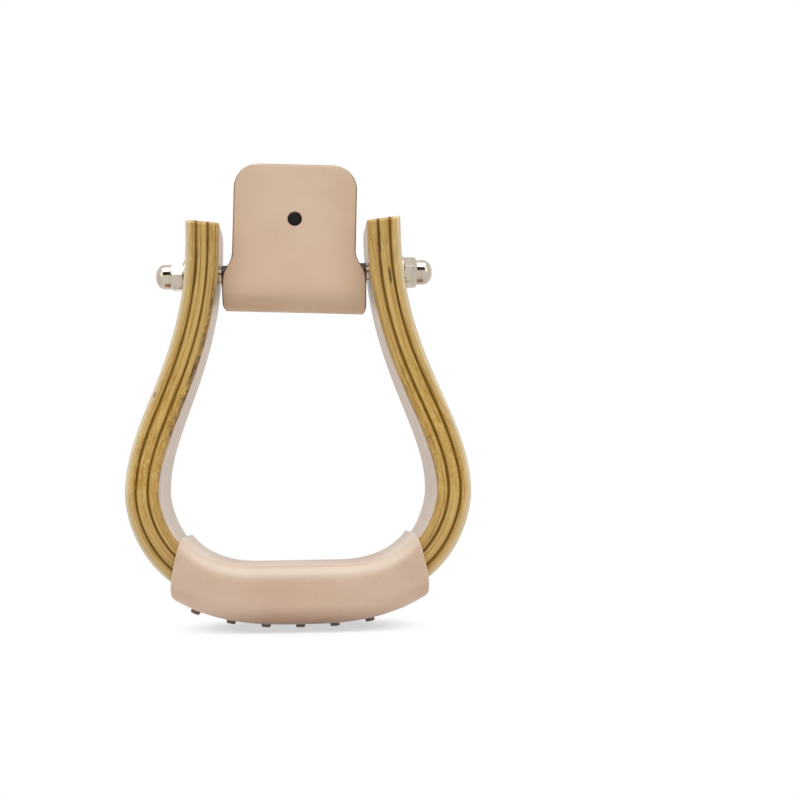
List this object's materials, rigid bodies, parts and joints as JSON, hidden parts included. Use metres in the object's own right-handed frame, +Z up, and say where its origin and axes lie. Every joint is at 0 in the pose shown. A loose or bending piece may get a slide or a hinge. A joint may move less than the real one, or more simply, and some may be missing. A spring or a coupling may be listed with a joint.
{
  "type": "wooden stirrup",
  "caption": "Laminated wooden bell stirrup with a leather-wrapped tread laced underneath, and a sleeved bolt with dome nuts across its neck that carries a folded leather flap.",
  "frame": {"origin": "centre of the bounding box in X and Y, at the underside of the middle lace crossing that the stirrup stands on", "axes": "+X to the right across the stirrup along its bolt, -Y towards the front, +Z up from the tread to the neck"},
  "size_m": [0.1586, 0.076, 0.2213],
  "materials": {
    "oak": "clear lacquer",
    "dark_veneer": "clear lacquer",
    "steel": "polished",
    "sleeve": "dark brown satin",
    "leather": "natural vegetable tanned",
    "thong": "natural vegetable tanned"
  },
  "bodies": {
    "bow": {"inner_ply": "oak", "inner_veneer": "dark_veneer", "middle_ply": "oak", "outer_veneer": "dark_veneer", "outer_ply": "oak", "stirrup_bolt": "steel", "right_washer": "steel", "right_dome_nut": "steel", "left_washer": "steel", "left_dome_nut": "steel", "tread_leather": "leather", "tread_lace": "thong"},
    "sleeve": {"bolt_sleeve": "sleeve"},
    "flap": {"neck_leather": "leather"}
  },
  "joints": [
    {"name": "sleeve_spin", "type": "hinge", "parent": "bow", "child": "sleeve", "pos_m": [0, 0, 0.1685], "axis": [1, 0, 0], "continuous": true},
    {"name": "flap_swing", "type": "hinge", "parent": "bow", "child": "flap", "pos_m": [0, 0, 0.1685], "axis": [1, 0, 0], "continuous": true}
  ]
}
